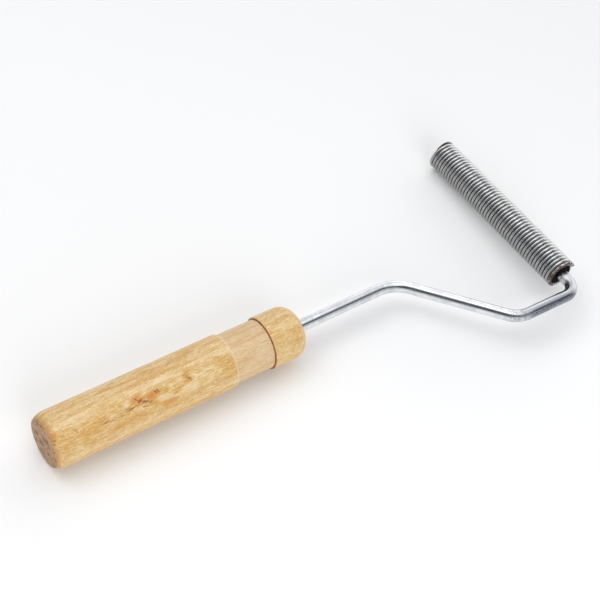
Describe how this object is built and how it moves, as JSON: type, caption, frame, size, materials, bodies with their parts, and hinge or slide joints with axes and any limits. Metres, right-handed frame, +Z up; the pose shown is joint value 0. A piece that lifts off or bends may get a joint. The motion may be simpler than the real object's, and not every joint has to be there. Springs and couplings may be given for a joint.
{
  "type": "spring hand roller",
  "caption": "Hand roller with a turned wooden handle, a bent wire frame and a close-wound coil-spring roller that spins freely on the wire's end.",
  "frame": {"origin": "centre of the handle's flat butt face, on the handle's axis", "axes": "+X along the handle towards the roller, +Z up as the tool lies on a bench, so the roller's far end points to +Y"},
  "size_m": [0.2746, 0.1136, 0.026],
  "materials": {
    "handle_wood": "light clear lacquer over turned pale hardwood",
    "zinc_wire": "bright zinc plating",
    "spring_steel": "bare bright spring steel with rusty ends",
    "bush_plastic": "moulded black nylon",
    "retainer_steel": "plain pressed steel"
  },
  "bodies": {
    "frame": {"handle": "handle_wood", "frame_wire": "zinc_wire", "retaining_washer": "retainer_steel", "push_nut": "retainer_steel"},
    "roller": {"roller_spring": "spring_steel", "near_bush": "bush_plastic", "far_bush": "bush_plastic"}
  },
  "joints": [
    {"name": "roller_spin", "type": "hinge", "parent": "frame", "child": "roller", "pos_m": [0.26639, 0, 0], "axis": [0, 0.9967, -0.081], "continuous": true}
  ]
}
